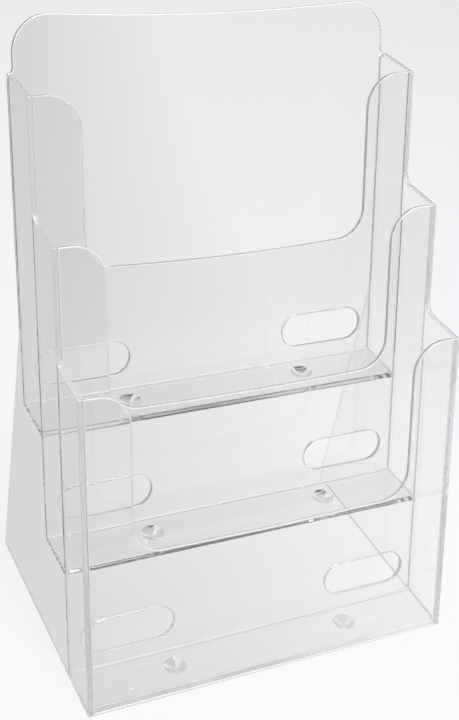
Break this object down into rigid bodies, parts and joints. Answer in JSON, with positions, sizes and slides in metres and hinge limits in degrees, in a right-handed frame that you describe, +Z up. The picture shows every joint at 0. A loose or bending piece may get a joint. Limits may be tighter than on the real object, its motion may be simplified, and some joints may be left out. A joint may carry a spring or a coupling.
{
  "type": "three-tier magazine rack",
  "caption": "Clear tiered table magazine rack: stepped side cheeks, leaning pocket panels with cut-out fronts, slotted backs and level floors.",
  "frame": {"origin": "on the table, under the middle of the outer box", "axes": "+X across the rack to its right, -Y is the front, +Z up"},
  "size_m": [0.24, 0.1842, 0.3502],
  "materials": {
    "clear_sheet": "clear polished sheet with bright cut edges"
  },
  "bodies": {
    "root": {"left_cheek": "clear_sheet", "right_cheek": "clear_sheet", "back_panel": "clear_sheet", "upper_divider": "clear_sheet", "lower_divider": "clear_sheet", "front_panel": "clear_sheet", "upper_floor": "clear_sheet", "middle_floor": "clear_sheet", "lower_floor": "clear_sheet"}
  },
  "joints": []
}
